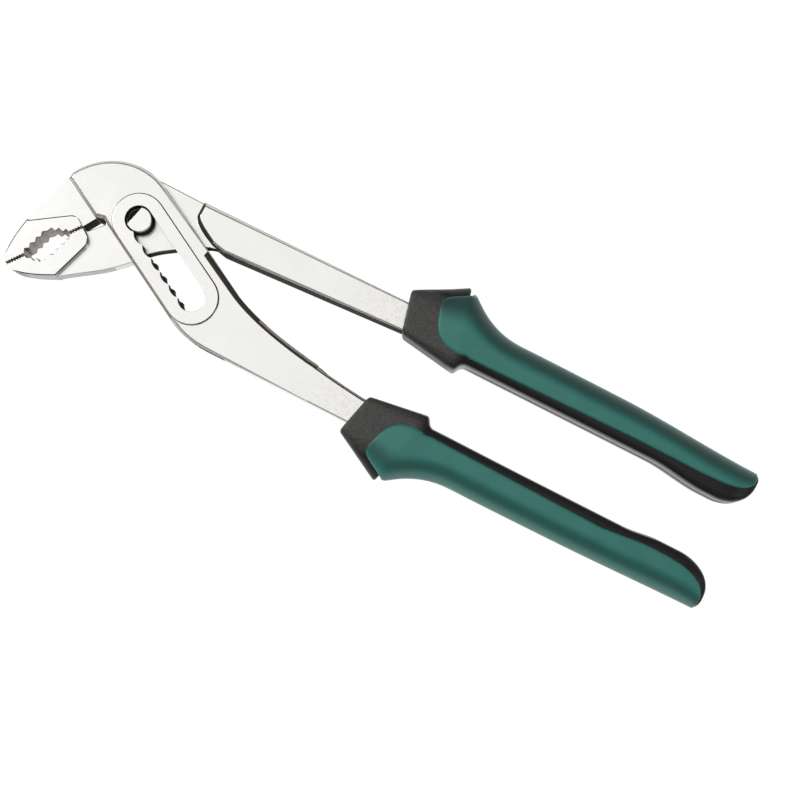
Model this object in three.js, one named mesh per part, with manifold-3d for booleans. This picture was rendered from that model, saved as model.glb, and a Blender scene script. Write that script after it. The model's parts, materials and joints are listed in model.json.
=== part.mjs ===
// Water pump pliers, 250 mm long, with a notched box joint and two-component grips.
// Millimetres. +X runs along the handles, +Y across them and +Z out of the front face.
// The tool is drawn closed, with the pivot pin in the first notch at the drawing's origin,
// and the finished group is moved so that its origin is the bottom centre of its box.
import * as THREE from 'three';
import { mergeVertices } from 'three/addons/utils/BufferGeometryUtils.js';
import Module from 'manifold-3d';

const wasm = await Module();
wasm.setup();

// Box joint: the slot runs from the first notch towards the lower handle
const SLOT_ANGLE = -28.9;
const NOTCH_COUNT = 7;
const NOTCH_PITCH = 5.2;
const PIN_RADIUS = 4.35;
const PIN_FIT = 0.15;
const PIN_FLAT = 1.9;
const PIN_FLAT_ANGLE = 166;
const PIN_EDGE = 0.4;
const PIN_RECESS = 0.3;
const FIT = 0.3;
const PLATE_HALF = 2.5;
const CHEEK_THICKNESS = 3.1;
const CHEEK_EDGE = 1;
const BOSS_HEIGHT = 0.6;
const BOSS_RADIUS = 8.8;
const BOSS_EDGE = 0.3;
const CHEEK_LEFT = 9.5;
const CHEEK_RIGHT = 12.9;
const HEAD_RADIUS = 21.6;
const HEAD_SETBACK = 4;
const CHEEK_FOOT = 1.9;
const WINDOW_GAP = 0.7;
const OPENING_ANGLE = 64;
const SWING_MARGIN = 2;
const HEAD_WALL_FROM = 152;
const HEAD_WALL_TO = 236;
const TAIL_WALL_FROM = -28;
const TAIL_WALL_TO = 36;

// Jaws: measured from the base of the meeting line, along it towards the tips
const JAW_BASE_U = -8.8;
const JAW_BASE_V = -16.2;
const JAW_LEAN = 7.9;
const JAW_LENGTH = 27.8;
const JAW_PAD_HALF = 4.3;
const JAW_FLANK_HALF = 3.6;
const JAW_GAP = 0.5;
const JAW_BACK_HEIGHT = 16.7;
const JAW_LAP = 2.5;
const JAW_NOSE = 1.4;
const NOSE_SETBACK = 2;
const NOSE_RISE = 4;
const JAW_ROUND_START = 15.5;
const JAW_ROUND_HEIGHT = 10.4;
const PAD_BASE = 0.4;
const PAD_END = 15;
const PAD_CORNER = 0.85;
const PAD_FOOT = 0.5;
const UPPER_PAD_BASE = 4.6;
const UPPER_PAD_END = 9.8;
const LOWER_PAD_BASE = 5.6;
const LOWER_PAD_END = 10.6;
const PIPE_NEAR = 5;
const PIPE_FAR = 21.3;
const UPPER_PIPE_DEPTH = 3.4;
const LOWER_PIPE_DEPTH = 4;
const UPPER_APEX = 11.2;
const LOWER_APEX = 16;
const COARSE_PITCH = 2.4;
const COARSE_DEPTH = 1;
const FINE_PITCH = 1;
const FINE_DEPTH = 0.4;

// Plate of the through arm
const PLATE_RADIUS = 15;
const PLATE_RELIEF = 11.7;
const RELIEF_START = 139;
const RELIEF_END = 145;
const JAW_ROOT_ANGLE = 240;
const KEEL = 11;
const KEEL_LINE = [
  [-1.5, -9.9],
  [-0.4, -3.1],
  [3.1, 4.4],
  [8.1, 12.9],
  [11, 16.3],
];
const HEEL_RISE = 1.6;
const HEEL_DEPTH = 4.2;

// Handle arms and tangs, measured out from the line midway between the handles
const MIDLINE = -6;
const ARM_OUTER = 21.8;
const ARM_INNER = 12.6;
const ARM_EDGE = 1.2;
const ARM_HALF = 4.6;
const NECK_HALF = 5.2;
const ARM_RAKE = 0.1;
const SHOULDER_X = 15.8;
const SHOULDER_V = 15;
const SHOULDER_ROUND = 4;
const SHOULDER_FOOT = 4;
const SHOULDER_HEEL = 8.6;
const NECK_U = 13.2;
const NECK_LIFT = 1.4;
const ELBOW_U = 37;
const ELBOW_SETBACK = 4;
const ELBOW_ROUND = 7;
const TANG_STEP = 0.8;
const TANG_INSET = 4;
const TANG_SETBACK = 20.5;
const TANG_TIP = 5;
const TANG_TIP_HALF = 3.2;

// Grips: along is measured from the front of the collar
const GRIP_START = 91;
const GRIP_LENGTH = 124.5;
const GRIP_INNER = 11.3;
const GRIP_OUTER = 25.5;
const GRIP_HALF = 8.2;
const GRIP_TAPER = 1;
const COLLAR_LENGTH = 18.6;
const COLLAR_INNER = 11.3;
const COLLAR_OUTER = 25.6;
const COLLAR_HALF = 7.6;
const COLLAR_EDGE = 0.8;
const LIP_INNER = 3.2;
const LIP_OUTER = 9.3;
const LIP_HALF = 8.8;
const LIP_INNER_RUN = 4;
const LIP_OUTER_RUN = 20;
const COLLAR_SHEAR = -0.25;
const SWELL_SETBACK = 31.5;
const SWELL_RUN = 12;
const SWELL = 1.5;
const END_ROUND = 13;
const END_INNER = 9;
const END_CORNER = 1.6;
const END_HALF = 3.4;
const SLEEVE_WALL = 2.4;
const SLEEVE_START = 8.8;
const SLEEVE_EDGE = 1.9;
const SLEEVE_END = 1.6;
const SLEEVE_CORNER = 7;
const SLEEVE_WAIST = 1.2;
const SLEEVE_LEAN = 1.2;
const FLANGE_WIDTH = 2.3;
const FLANGE_CORNER = 2;
const COLLAR_SQUARE = 0.27;
const INNER_SQUARE = 0.32;
const OUTER_SQUARE = 1.2;
const INNER_FACE = 0.44;
const OUTER_FACE = 0.95;
const LIP_FALL = 2.4;

// Facets
const ARC_STEPS = 16;
const CORNER_STEPS = 6;
const RING_POINTS = 32;
const PIN_SIDES = 40;
const WALL_STEP = 4;
const LIP_STOPS = [0, 0.02, 0.07, 0.13, 0.21, 0.33, 0.5, 0.7, 1];
const SWELL_STOPS = [0, 0.25, 0.5, 0.75, 1];
const END_STOPS = [0.25, 0.45, 0.62, 0.77, 0.9, 1];

// Sizes that follow from the ones above
const cheekInner = PLATE_HALF + FIT;
const cheekOuter = cheekInner + CHEEK_THICKNESS;
const bossFace = cheekOuter + BOSS_HEIGHT;
const seatRadius = PIN_RADIUS + PIN_FIT;
const slotTravel = (NOTCH_COUNT - 1) * NOTCH_PITCH;
const slotTurn = THREE.MathUtils.degToRad(SLOT_ANGLE);
const reachZ = bossFace + LIP_HALF;
const tangLength = GRIP_LENGTH - TANG_SETBACK;
const swellStart = GRIP_LENGTH - SWELL_SETBACK;

const STEEL = { color: 0xd9d9d6, roughness: 0.28, metalness: 1 };
const BLACK = { color: 0x2b2a29, roughness: 0.7, metalness: 0 };
const GREEN = { color: 0x3f8577, roughness: 0.5, metalness: 0 };

// Points of the slot's frame: u along the slot, v across it towards the upper handle
function slotPoint(u, v) {
  return new THREE.Vector2(u, v).rotateAround(new THREE.Vector2(), slotTurn);
}

// Points of the jaws' frame: along the meeting line, and up into the upper jaw
function jawPoint(along, up) {
  const lean = THREE.MathUtils.degToRad(JAW_LEAN);
  const u = JAW_BASE_U - along * Math.sin(lean) - up * Math.cos(lean);
  const v = JAW_BASE_V - along * Math.cos(lean) + up * Math.sin(lean);
  return slotPoint(u, v);
}

// A point at a distance and a slot-frame angle from a place on the slot's axis
function polarPoint(radius, angle, u = 0) {
  const turn = THREE.MathUtils.degToRad(angle);
  return slotPoint(u + radius * Math.cos(turn), radius * Math.sin(turn));
}

function arcPoints(radius, from, to, u = 0, steps = ARC_STEPS) {
  return Array.from({ length: steps + 1 }, (_, i) => polarPoint(radius, from + ((to - from) * i) / steps, u));
}

function curvePoints(start, control, end, steps = ARC_STEPS) {
  return new THREE.QuadraticBezierCurve(start, control, end).getPoints(steps);
}

function splinePoints(points, stepsEach = 5) {
  return new THREE.SplineCurve(points).getPoints(stepsEach * (points.length - 1));
}

// Where two lines meet, each given by a point and a direction
function meeting(a, alongA, b, alongB) {
  const cross = alongA.x * alongB.y - alongA.y * alongB.x;
  const t = ((b.x - a.x) * alongB.y - (b.y - a.y) * alongB.x) / cross;
  return alongA.clone().multiplyScalar(t).add(a);
}

function solidOf(geometry) {
  const bare = new THREE.BufferGeometry();
  bare.setAttribute('position', geometry.getAttribute('position'));
  bare.setIndex(geometry.index);
  const merged = mergeVertices(bare, 1e-4);
  return new wasm.Manifold(
    new wasm.Mesh({
      numProp: 3,
      vertProperties: new Float32Array(merged.getAttribute('position').array),
      triVerts: new Uint32Array(merged.index.array),
    }),
  );
}

// An outline given depth between two heights, with an equal chamfer on both faces
function prism(points, low, high, chamfer = 0) {
  const geometry = new THREE.ExtrudeGeometry(new THREE.Shape(points), {
    depth: high - low - 2 * chamfer,
    bevelEnabled: chamfer > 0,
    bevelThickness: chamfer,
    bevelSize: chamfer,
    bevelOffset: -chamfer,
    bevelSegments: 1,
  });
  geometry.translate(0, 0, low + chamfer);
  return solidOf(geometry);
}

// A side profile in X and half height, given width across Y
function sideProfile(stations, width) {
  const upper = stations.map(([x, half]) => new THREE.Vector2(x, half));
  const lower = stations.map(([x, half]) => new THREE.Vector2(x, -half)).reverse();
  const geometry = new THREE.ExtrudeGeometry(new THREE.Shape([...upper, ...lower]), {
    depth: 2 * width,
    bevelEnabled: false,
  });
  geometry.rotateX(Math.PI / 2);
  geometry.translate(0, width, 0);
  return solidOf(geometry);
}

function cylinder(radius, low, high, place, chamfer = 0) {
  const profile = [
    new THREE.Vector2(0, low),
    new THREE.Vector2(radius - chamfer, low),
    ...(chamfer > 0 ? [new THREE.Vector2(radius, low + chamfer), new THREE.Vector2(radius, high - chamfer)] : []),
    new THREE.Vector2(radius - chamfer, high),
    new THREE.Vector2(0, high),
  ];
  const geometry = new THREE.LatheGeometry(profile, PIN_SIDES);
  geometry.rotateX(Math.PI / 2);
  geometry.translate(place.x, place.y, 0);
  return solidOf(geometry);
}

function mesh(name, solid, look) {
  const { vertProperties, triVerts } = solid.getMesh();
  const geometry = new THREE.BufferGeometry();
  geometry.setAttribute('position', new THREE.BufferAttribute(vertProperties, 3));
  geometry.setIndex(new THREE.BufferAttribute(triVerts, 1));
  geometry.computeVertexNormals();
  const result = new THREE.Mesh(geometry, new THREE.MeshStandardMaterial(look));
  result.name = name;
  return result;
}

// Saw teeth from one jaw point to another, cut to one side of the line between them
function toothRun(from, to, pitch, depth) {
  const run = new THREE.Vector2().subVectors(to, from);
  const count = Math.max(1, Math.round(run.length() / pitch));
  const inward = new THREE.Vector2(-run.y, run.x).normalize().multiplyScalar(depth);
  const points = [];
  for (let i = 0; i < count; i += 1) {
    points.push(from.clone().addScaledVector(run, i / count));
    points.push(from.clone().addScaledVector(run, (i + 0.5) / count).add(inward));
  }
  return points;
}

// The gripping face from base to tip, in the jaws' frame. Side is 1 for the upper jaw and -1 for the lower.
function grippingFace(side, apex, depth) {
  const gap = (side * JAW_GAP) / 2;
  const base = new THREE.Vector2(PAD_BASE, gap);
  const near = new THREE.Vector2(PIPE_NEAR, gap);
  const hollow = new THREE.Vector2(apex, gap + side * depth);
  const far = new THREE.Vector2(PIPE_FAR, gap);
  const tip = new THREE.Vector2(JAW_LENGTH, gap);
  return [
    ...toothRun(base, near, FINE_PITCH, side * FINE_DEPTH),
    ...toothRun(near, hollow, COARSE_PITCH, side * COARSE_DEPTH),
    ...toothRun(hollow, far, COARSE_PITCH, side * COARSE_DEPTH),
    ...toothRun(far, tip, FINE_PITCH, side * FINE_DEPTH),
    tip,
  ].map((p) => jawPoint(p.x, p.y));
}

// The rounded back of a jaw from its nose to where the round starts
function jawNose(side) {
  return curvePoints(
    jawPoint(JAW_LENGTH, side * JAW_NOSE),
    jawPoint(JAW_LENGTH - NOSE_SETBACK, side * (JAW_NOSE + NOSE_RISE)),
    jawPoint(JAW_ROUND_START, side * JAW_ROUND_HEIGHT),
    CORNER_STEPS,
  );
}

// The thick tooth zone of a jaw, up to a shoulder that slopes from its base to the jaw's back
function jawPad(side, face, baseHeight, endHeight) {
  const end = jawPoint(PAD_END, side * endHeight);
  const corner = jawPoint(PAD_BASE, side * baseHeight);
  const foot = jawPoint(PAD_BASE, side * baseHeight * PAD_FOOT);
  const outline = [
    ...face,
    ...jawNose(side),
    end,
    ...curvePoints(end.clone().lerp(corner, PAD_CORNER), corner, foot, CORNER_STEPS),
  ];
  return prism(outline, -JAW_PAD_HALF, JAW_PAD_HALF);
}

// The plate of the through arm: a hub round the pin, the lower jaw and the root of the upper handle
function plateOutline(face) {
  const handleInner = new THREE.Vector2(SHOULDER_X + 2 * SHOULDER_ROUND, MIDLINE + ARM_INNER);
  const handleTop = new THREE.Vector2(handleInner.x, PLATE_RADIUS - FIT);
  const keel = splinePoints([
    jawPoint(JAW_ROUND_START, -JAW_ROUND_HEIGHT),
    jawPoint(HEEL_RISE, -KEEL - HEEL_DEPTH),
    ...KEEL_LINE.map(([u, v]) => slotPoint(KEEL + u, v)),
  ]);
  return [
    handleInner,
    handleTop,
    ...arcPoints(PLATE_RADIUS, 90 - SLOT_ANGLE, RELIEF_START, 0, CORNER_STEPS),
    ...arcPoints(PLATE_RELIEF, RELIEF_END, JAW_ROOT_ANGLE, 0, ARC_STEPS),
    jawPoint(-PAD_BASE, -JAW_GAP * 3),
    ...face,
    ...jawNose(-1),
    ...keel.slice(1),
  ];
}

// How far the plate reaches from the pin's axis, at a slot-frame angle
function plateReach(outline, angle) {
  const ray = polarPoint(1, angle);
  let reach = 0;
  outline.forEach((a, i) => {
    const b = outline[(i + 1) % outline.length];
    const sideA = ray.x * a.y - ray.y * a.x;
    const sideB = ray.x * b.y - ray.y * b.x;
    if (sideA * sideB > 0 || sideA === sideB) return;
    const crossing = a.clone().lerp(b, sideA / (sideA - sideB));
    reach = Math.max(reach, crossing.dot(ray));
  });
  return reach;
}

// The wall that clears the plate as it opens about one notch, over a run of slot-frame angles
function clearedWall(outline, notchU, from, to) {
  const count = Math.round(Math.abs(to - from) / WALL_STEP);
  return Array.from({ length: count + 1 }, (_, i) => {
    const angle = from + ((to - from) * i) / count;
    let reach = 0;
    for (let turn = -SWING_MARGIN; turn <= OPENING_ANGLE + SWING_MARGIN; turn += 1) {
      reach = Math.max(reach, plateReach(outline, angle - turn));
    }
    return polarPoint(reach + WINDOW_GAP, angle, notchU);
  });
}

// The space between the cheeks, open on both sides of the arm
function windowOutline(outline) {
  const outside = 3 * CHEEK_RIGHT;
  return [
    ...clearedWall(outline, 0, HEAD_WALL_FROM, HEAD_WALL_TO),
    slotPoint(JAW_BASE_U + 2 * WINDOW_GAP, -outside),
    slotPoint(slotTravel + 2 * KEEL, -outside),
    ...clearedWall(outline, slotTravel, TAIL_WALL_FROM, TAIL_WALL_TO),
    slotPoint(slotTravel + 2 * KEEL, outside),
    slotPoint(-BOSS_RADIUS, outside),
  ];
}

// The tang of one handle, which steps in behind the collar's front. Side is 1 for the upper handle and -1 for the lower.
function tangPoints(side) {
  const y = (out) => MIDLINE + side * out;
  const middle = (ARM_OUTER + ARM_INNER) / 2;
  const step = GRIP_START + TANG_INSET;
  const end = GRIP_START + tangLength;
  return [
    new THREE.Vector2(step, y(ARM_OUTER)),
    new THREE.Vector2(step, y(ARM_OUTER - TANG_STEP)),
    new THREE.Vector2(end, y(middle + TANG_TIP / 2)),
    new THREE.Vector2(end, y(middle - TANG_TIP / 2)),
    new THREE.Vector2(step, y(ARM_INNER + TANG_STEP)),
    new THREE.Vector2(step, y(ARM_INNER)),
  ];
}

// Thickness of an arm along X, falling from its head to the tip of its tang
function armThickness(headX, headHalf) {
  return sideProfile(
    [
      [-3 * HEAD_RADIUS, headHalf],
      [headX, headHalf],
      [GRIP_START, ARM_HALF],
      [GRIP_START + tangLength, TANG_TIP_HALF],
    ],
    3 * HEAD_RADIUS,
  );
}

function slottedArm(lowerFace) {
  const alongSlot = slotPoint(1, 0);
  const alongX = new THREE.Vector2(1, 0);
  const outerY = new THREE.Vector2(GRIP_START, MIDLINE - ARM_OUTER);
  const leftEnd = slotPoint(ELBOW_U - ELBOW_SETBACK, -CHEEK_LEFT);
  const leftCorner = meeting(leftEnd, alongSlot, outerY, alongX);
  const rightEnd = slotPoint(ELBOW_U, CHEEK_RIGHT);
  const innerEnd = new THREE.Vector2(GRIP_START, MIDLINE - ARM_INNER);
  const rightCorner = meeting(rightEnd, alongSlot, innerEnd, new THREE.Vector2(-1, ARM_RAKE));
  const headCentre = -HEAD_SETBACK;
  const arc = Array.from({ length: ARC_STEPS + 1 }, (_, i) => {
    const turn = Math.PI / 2 + (Math.PI / 2) * (i / ARC_STEPS);
    const v = -CHEEK_LEFT + (CHEEK_LEFT + CHEEK_RIGHT) * Math.sin(turn);
    return slotPoint(headCentre + HEAD_RADIUS * Math.cos(turn), v);
  });
  const cheekFoot = -CHEEK_LEFT - CHEEK_FOOT;
  const outline = [
    slotPoint(JAW_BASE_U + CHEEK_FOOT, -CHEEK_LEFT),
    ...curvePoints(leftEnd, leftCorner, leftCorner.clone().add(new THREE.Vector2(ELBOW_ROUND, 0)), CORNER_STEPS),
    ...tangPoints(-1),
    ...curvePoints(innerEnd, rightCorner, rightEnd),
    ...arc,
    slotPoint(headCentre - HEAD_RADIUS + CHEEK_EDGE, cheekFoot),
    slotPoint(JAW_BASE_U, cheekFoot),
  ];
  const body = prism(outline, -cheekOuter, cheekOuter, CHEEK_EDGE).intersect(
    armThickness(leftEnd.x, cheekOuter),
  );

  const upperFace = grippingFace(1, UPPER_APEX, UPPER_PIPE_DEPTH);
  const flank = [
    slotPoint(JAW_BASE_U, -CHEEK_LEFT),
    jawPoint(-JAW_LAP, JAW_BACK_HEIGHT),
    jawPoint(-JAW_LAP / 2, JAW_BACK_HEIGHT),
    ...jawNose(1).reverse(),
    ...upperFace.toReversed(),
  ];
  const boss = [
    ...arcPoints(BOSS_RADIUS, 90, 270),
    ...arcPoints(BOSS_RADIUS, -90, 90, slotTravel),
  ];
  let solid = body
    .add(prism(flank, -JAW_FLANK_HALF, JAW_FLANK_HALF))
    .add(jawPad(1, upperFace, UPPER_PAD_BASE, UPPER_PAD_END))
    .add(prism(boss, -bossFace, bossFace, BOSS_EDGE));

  const window = prism(windowOutline(plateOutline(lowerFace)), -cheekInner, cheekInner);
  solid = solid.subtract(window);
  const straight = [
    slotPoint(0, 0),
    slotPoint(slotTravel, 0),
    slotPoint(slotTravel, seatRadius),
    slotPoint(0, seatRadius),
  ];
  solid = solid.subtract(prism(straight, -reachZ, reachZ));
  for (let i = 0; i < NOTCH_COUNT; i += 1) {
    solid = solid.subtract(cylinder(seatRadius, -reachZ, reachZ, slotPoint(i * NOTCH_PITCH, 0)));
  }
  return mesh('slotted_arm', solid, STEEL);
}

function throughArm(lowerFace) {
  const outline = [
    new THREE.Vector2(SHOULDER_X, PLATE_RADIUS),
    ...curvePoints(
      new THREE.Vector2(SHOULDER_X, PLATE_RADIUS - SHOULDER_ROUND),
      slotPoint(KEEL - SHOULDER_FOOT / 2, SHOULDER_V),
      slotPoint(KEEL + SHOULDER_FOOT, SHOULDER_V),
      CORNER_STEPS,
    ),
    slotPoint(KEEL + SHOULDER_HEEL, SHOULDER_V),
    slotPoint(KEEL + NECK_U, SHOULDER_V + NECK_LIFT),
    ...tangPoints(1).reverse(),
  ];
  const handle = prism(outline, -NECK_HALF, NECK_HALF, ARM_EDGE).intersect(
    armThickness(SHOULDER_X, NECK_HALF),
  );
  let solid = prism(plateOutline(lowerFace), -PLATE_HALF, PLATE_HALF)
    .add(handle)
    .add(jawPad(-1, lowerFace, LOWER_PAD_BASE, LOWER_PAD_END));
  solid = solid.subtract(cylinder(seatRadius, -reachZ, reachZ, slotPoint(0, 0)));
  return mesh('through_arm', solid, STEEL);
}

// The pin is round where it passes through the plate and has a flat where it sits in each cheek
function pivotPin() {
  const end = bossFace - PIN_RECESS;
  const flatTurn = THREE.MathUtils.degToRad(PIN_FLAT_ANGLE);
  let solid = cylinder(PIN_RADIUS, -end, end, slotPoint(0, 0), PIN_EDGE);
  for (const face of [1, -1]) {
    const depth = end - cheekInner + FIT;
    const cutter = new THREE.BoxGeometry(2 * PIN_RADIUS, 4 * PIN_RADIUS, 2 * depth);
    cutter.translate(PIN_FLAT + PIN_RADIUS, 0, face * (cheekInner + depth));
    cutter.rotateZ(flatTurn);
    solid = solid.subtract(solidOf(cutter));
  }
  return mesh('pivot_pin', solid, STEEL);
}

function smooth(x, start, run) {
  return THREE.MathUtils.smoothstep(x, start, start + run);
}

// How far a quarter round over the last stretch of a grip has turned, from 0 to 1
function roundOff(along, run) {
  const part = THREE.MathUtils.clamp((along - GRIP_LENGTH + run) / run, 0, 1);
  return 1 - Math.sqrt(1 - part * part);
}

// Inner edge, outer edge and half depth of a grip, at a distance along it
function gripAt(along) {
  const rise = Math.min(1, along / COLLAR_LENGTH);
  const past = along - COLLAR_LENGTH;
  let inner = THREE.MathUtils.lerp(COLLAR_INNER, GRIP_INNER - LIP_INNER, rise);
  let outer = THREE.MathUtils.lerp(COLLAR_OUTER, GRIP_OUTER + LIP_OUTER, rise);
  let half = THREE.MathUtils.lerp(COLLAR_HALF, LIP_HALF, rise);
  if (past > 0) {
    const innerFall = Math.max(0, 1 - past / LIP_INNER_RUN) ** 2;
    const outerFall = Math.max(0, 1 - past / LIP_OUTER_RUN) ** LIP_FALL;
    inner = GRIP_INNER - LIP_INNER * innerFall;
    outer = GRIP_OUTER + LIP_OUTER * outerFall - GRIP_TAPER * (past / (GRIP_LENGTH - COLLAR_LENGTH));
    half = GRIP_HALF + (LIP_HALF - GRIP_HALF) * outerFall;
  }
  const endRound = roundOff(along, END_ROUND);
  inner += END_INNER * endRound - SWELL * smooth(along, swellStart, SWELL_RUN);
  outer -= END_CORNER * roundOff(along, END_CORNER);
  half -= END_HALF * endRound;
  return { inner, outer, half };
}

// One closed ring of a grip's loft, drawn in by a margin but by no more than the fit on its inner side.
// The collar's front is square all round, and behind it the outer side falls away to an oval.
function gripRing(along, margin, shrink = 0) {
  const { inner, outer, half } = gripAt(along);
  const skin = Math.min(margin, FIT);
  const middle = (inner + skin + outer - margin) / 2;
  const width = (outer - margin - inner - skin) / 2 - shrink;
  const height = half - margin - shrink;
  const shear = COLLAR_SHEAR * (1 - smooth(along, COLLAR_LENGTH, LIP_OUTER_RUN));
  const blend = smooth(along, 0, COLLAR_LENGTH);
  const fromCollar = (power) => THREE.MathUtils.lerp(COLLAR_SQUARE, power, blend);
  return Array.from({ length: RING_POINTS }, (_, i) => {
    const turn = (2 * Math.PI * i) / RING_POINTS;
    const inward = Math.cos(turn) < 0;
    const acrossPower = fromCollar(inward ? INNER_SQUARE : OUTER_SQUARE);
    const upPower = fromCollar(inward ? INNER_FACE : OUTER_FACE);
    const across = Math.sign(Math.cos(turn)) * Math.abs(Math.cos(turn)) ** acrossPower;
    const up = Math.sign(Math.sin(turn)) * Math.abs(Math.sin(turn)) ** upPower;
    const out = middle + width * across;
    return new THREE.Vector3(GRIP_START + along + shear * (out - middle), out, height * up);
  });
}

// A loft through closed rings of equal counts, with flat fans at both ends
function loft(rings) {
  const count = rings[0].length;
  const points = rings.flat();
  const index = [];
  for (let k = 0; k + 1 < rings.length; k += 1) {
    for (let i = 0; i < count; i += 1) {
      const a = k * count + i;
      const b = k * count + ((i + 1) % count);
      index.push(a, b, a + count, b, b + count, a + count);
    }
  }
  for (const [ring, flip] of [[0, true], [rings.length - 1, false]]) {
    const centre = new THREE.Vector3();
    rings[ring].forEach((p) => centre.addScaledVector(p, 1 / count));
    points.push(centre);
    for (let i = 0; i < count; i += 1) {
      const a = ring * count + i;
      const b = ring * count + ((i + 1) % count);
      index.push(points.length - 1, flip ? b : a, flip ? a : b);
    }
  }
  const geometry = new THREE.BufferGeometry().setFromPoints(points);
  geometry.setIndex(index);
  return solidOf(geometry);
}

// The whole grip as one body, drawn in by a margin and shortened by it at both ends
function gripBody(margin) {
  const lipStops = LIP_STOPS.map((x) => COLLAR_LENGTH + LIP_OUTER_RUN * x);
  const swellStops = SWELL_STOPS.map((x) => swellStart + SWELL_RUN * x);
  const lastTurn = Math.acos(margin / END_ROUND);
  const endStops = END_STOPS.map((x) => GRIP_LENGTH - END_ROUND * (1 - Math.sin(x * lastTurn)));
  const stops = [margin + COLLAR_EDGE, COLLAR_LENGTH / 2, ...lipStops, ...swellStops, ...endStops];
  return loft([gripRing(margin, margin, COLLAR_EDGE), ...stops.map((along) => gripRing(along, margin))]);
}

// The area of the soft sleeve in plan, drawn in by a gap, as seen from the front
function sleeveOutline(gap) {
  const front = GRIP_START + SLEEVE_START + gap;
  const edge = GRIP_INNER + SLEEVE_EDGE + gap;
  const end = GRIP_START + GRIP_LENGTH - SLEEVE_END - gap;
  const lipX = GRIP_START + COLLAR_LENGTH + COLLAR_SHEAR * LIP_OUTER;
  const lipTop = GRIP_OUTER + LIP_OUTER - FLANGE_WIDTH - gap;
  const slope = (GRIP_OUTER + LIP_OUTER - COLLAR_OUTER) / (COLLAR_LENGTH + COLLAR_SHEAR * LIP_OUTER);
  const frontTop = lipTop - slope * (lipX - front);
  const far = lipTop + 2 * LIP_OUTER;
  const corner = FLANGE_CORNER;
  return [
    new THREE.Vector2(lipX + 2 * corner, far),
    new THREE.Vector2(lipX + corner, lipTop + slope * corner),
    ...curvePoints(
      new THREE.Vector2(front + corner, frontTop + slope * corner),
      new THREE.Vector2(front - corner / 2, frontTop - (slope * corner) / 2),
      new THREE.Vector2(front, frontTop - 2 * corner),
      CORNER_STEPS,
    ),
    ...curvePoints(
      new THREE.Vector2(front + SLEEVE_LEAN, edge + SLEEVE_CORNER),
      new THREE.Vector2(front + 3 * SLEEVE_LEAN, edge),
      new THREE.Vector2(front + 3 * SLEEVE_LEAN + SLEEVE_CORNER, edge),
      CORNER_STEPS,
    ),
    new THREE.Vector2(GRIP_START + swellStart - SLEEVE_CORNER, edge + SLEEVE_WAIST),
    new THREE.Vector2(GRIP_START + swellStart + SLEEVE_CORNER, edge),
    ...curvePoints(
      new THREE.Vector2(end - 1.6 * SLEEVE_CORNER, edge),
      new THREE.Vector2(end, edge),
      new THREE.Vector2(end, edge + 1.4 * SLEEVE_CORNER),
      CORNER_STEPS,
    ),
    new THREE.Vector2(end, far),
  ];
}

// The two components of one grip. Side is 1 for the upper handle and -1 for the lower.
function grip(prefix, side) {
  const whole = gripBody(0);
  const inside = gripBody(SLEEVE_WALL);
  const hollow = gripBody(SLEEVE_WALL - FIT);
  const sleeve = whole.intersect(prism(sleeveOutline(FIT / 2), -reachZ, reachZ)).subtract(hollow);
  let core = whole.subtract(prism(sleeveOutline(-FIT / 2), -reachZ, reachZ)).add(inside);
  const tang = tangPoints(1).map((p) => new THREE.Vector2(p.x, p.y - MIDLINE));
  const [outerStart, outerStep, outerTip, innerTip, innerStep, innerStart] = tang;
  const cavity = [
    new THREE.Vector2(outerStart.x - 2 * COLLAR_LENGTH, outerStart.y + FIT),
    new THREE.Vector2(outerStart.x + FIT, outerStart.y + FIT),
    new THREE.Vector2(outerStep.x + FIT, outerStep.y + FIT),
    new THREE.Vector2(outerTip.x + FIT, outerTip.y + FIT),
    new THREE.Vector2(innerTip.x + FIT, innerTip.y - FIT),
    new THREE.Vector2(innerStep.x + FIT, innerStep.y - FIT),
    new THREE.Vector2(innerStart.x + FIT, innerStart.y - FIT),
    new THREE.Vector2(innerStart.x - 2 * COLLAR_LENGTH, innerStart.y - FIT),
  ];
  const height = sideProfile(
    [
      [GRIP_START - 2 * COLLAR_LENGTH, ARM_HALF + 2 * FIT],
      [GRIP_START, ARM_HALF + FIT],
      [GRIP_START + tangLength + FIT, TANG_TIP_HALF + FIT],
    ],
    3 * HEAD_RADIUS,
  );
  core = core.subtract(prism(cavity, -reachZ, reachZ).intersect(height));
  const place = (solid) => (side > 0 ? solid : solid.mirror([0, 1, 0])).translate([0, MIDLINE, 0]);
  return [
    mesh(`${prefix}_grip_core`, place(core), BLACK),
    mesh(`${prefix}_grip_sleeve`, place(sleeve), GREEN),
  ];
}

const lowerFace = grippingFace(-1, LOWER_APEX, LOWER_PIPE_DEPTH);
const pliers = new THREE.Group();
pliers.add(slottedArm(lowerFace), throughArm(lowerFace), pivotPin());
pliers.add(...grip('lower', -1), ...grip('upper', 1));
const box = new THREE.Box3().setFromObject(pliers);
const middle = box.getCenter(new THREE.Vector3());
pliers.position.set(-middle.x, -middle.y, -box.min.z);

export default pliers;
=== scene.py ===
"""Water pump pliers: the visible pieces, their finishes and the studio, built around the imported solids."""

import json
import math
from collections import namedtuple
from functools import lru_cache

import bmesh
import bpy
import numpy as np
from bpy.props import FloatProperty, FloatVectorProperty, PointerProperty
from mathutils import Matrix, Vector


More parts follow.
